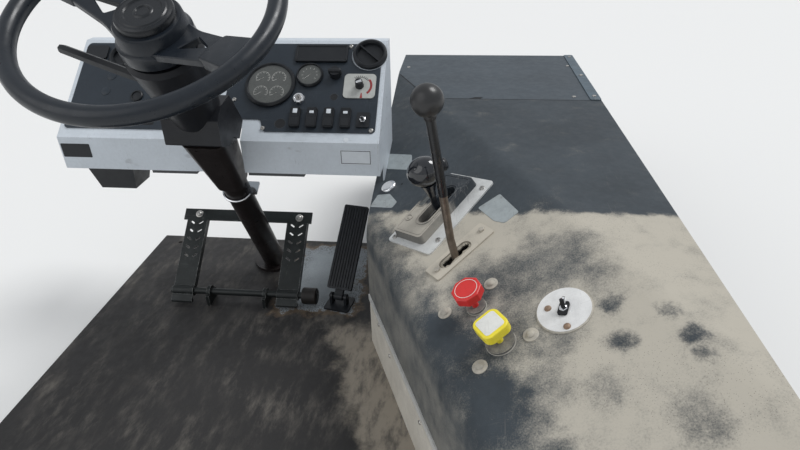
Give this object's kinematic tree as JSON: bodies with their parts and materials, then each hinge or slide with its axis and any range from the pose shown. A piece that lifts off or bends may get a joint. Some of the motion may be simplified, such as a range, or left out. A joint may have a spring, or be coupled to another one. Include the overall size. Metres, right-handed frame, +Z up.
{
  "type": "terminal tractor driver control station",
  "caption": "Driver's control station of a terminal tractor: side console with levers and valve knobs, dash, steering column and wheel, and foot controls on a floor plate.",
  "frame": {"origin": "On the floor plate's underside, below the steering column, in the plane of the dash fascia.", "axes": "+X is to the driver's right, +Y is forward and +Z is up, in metres."},
  "size_m": [1.195, 1.556, 0.8345],
  "materials": {
    "floor_paint": "worn pale grey paint, scuffed",
    "shell_steel": "dark painted sheet",
    "mat": "grained dark covering, dusty",
    "bare_trim": "bare, scratched",
    "worn_steel": "worn bare steel",
    "bezel": "bare, brushed and worn",
    "dash_paint": "white paint, scuffed",
    "panel": "satin dark grey-blue",
    "black_plastic": "satin black",
    "gloss_black": "gloss black",
    "red_plastic": "gloss red",
    "yellow_plastic": "gloss yellow",
    "chrome": "polished",
    "black_rubber": "matt black rubber",
    "pedal_metal": "dark paint worn to metal",
    "gauge": "black dial under a clear lens",
    "grey_plastic": "light grey, faded",
    "column_brown": "brownish black paint"
  },
  "bodies": {
    "base": {"floor_plate": "floor_paint", "console_shell": "shell_steel", "console_mat": "mat", "front_cover": "mat", "kick_panel": "floor_paint", "trim_strip": "bare_trim", "side_panel_left": "shell_steel", "side_panel_right": "shell_steel", "end_panels": "shell_steel", "corner_strip": "worn_steel", "lever_brackets": "worn_steel", "selector_bezel": "bezel", "selector_housing": "black_plastic", "gate_plate": "bezel", "lever_boot": "black_rubber", "valve_collars": "gloss_black", "switch_plate": "bezel", "switch_toggle": "chrome", "chrome_cap": "chrome", "dash_shell": "dash_paint", "dash_end_left": "dash_paint", "dash_end_right": "dash_paint", "panel_right": "panel", "panel_left": "panel", "large_gauge": "gauge", "small_gauge": "gauge", "air_vents": "black_plastic", "blank_covers": "black_plastic", "heater_plate": "grey_plastic", "dash_knobs": "black_plastic", "key_switch": "chrome", "rocker_switches": "black_plastic", "toggle_switch": "black_plastic", "underdash_box": "black_plastic", "dash_rails": "shell_steel", "column_shroud": "black_plastic", "column_cover": "column_brown", "column_taper": "column_brown", "column_tube": "column_brown", "column_clamp": "chrome", "indicator_stalk": "black_plastic", "treadle_lugs": "pedal_metal", "treadle_roller": "black_rubber", "accelerator_base": "black_plastic"},
    "steering": {"steering_wheel": "black_plastic", "horn_cap": "gloss_black", "steering_shaft": "worn_steel"},
    "selector_lever": {"selector_stem": "worn_steel", "selector_knob": "gloss_black", "selector_button": "gloss_black"},
    "boom_lever": {"boom_rod": "worn_steel", "boom_ball": "gloss_black"},
    "red_valve": {"red_stem": "worn_steel", "red_knob": "red_plastic"},
    "yellow_valve": {"yellow_stem": "worn_steel", "yellow_knob": "yellow_plastic"},
    "treadle": {"brake_treadle": "pedal_metal"},
    "accelerator": {"accelerator_pedal": "black_rubber"}
  },
  "joints": [
    {"name": "steering_turn", "type": "hinge", "parent": "base", "child": "steering", "pos_m": [-0.009, -0.187, 0.72], "axis": [0.0137, -0.4924, 0.8702], "range_deg": [-720, 720]},
    {"name": "selector_swing", "type": "hinge", "parent": "base", "child": "selector_lever", "pos_m": [0.4566, -0.11006, 0.32066], "axis": [-0.707, 0.6804, -0.1928], "range_deg": [-20, 20]},
    {"name": "boom_swing", "type": "hinge", "parent": "base", "child": "boom_lever", "pos_m": [0.48205, -0.2438, 0.28944], "axis": [-0.5782, 0.8086, -0.1083], "range_deg": [-15, 15]},
    {"name": "red_push", "type": "slide", "parent": "base", "child": "red_valve", "axis": [-0.4122, -0.175, 0.8942], "range_m": [-0.015, 0]},
    {"name": "yellow_push", "type": "slide", "parent": "base", "child": "yellow_valve", "axis": [-0.4122, -0.175, 0.8942], "range_m": [-0.015, 0]},
    {"name": "treadle_press", "type": "hinge", "parent": "base", "child": "treadle", "pos_m": [0, 0.035, 0.034], "axis": [1, 0, 0], "range_deg": [-15, 0], "stiffness_Nm_per_rad": 10, "springref_deg": 20.05},
    {"name": "accelerator_press", "type": "hinge", "parent": "base", "child": "accelerator", "pos_m": [0.191, 0.044, 0.03], "axis": [0.9829, -0.184, 0], "range_deg": [-12, 0], "stiffness_Nm_per_rad": 6, "springref_deg": 17.19}
  ]
}
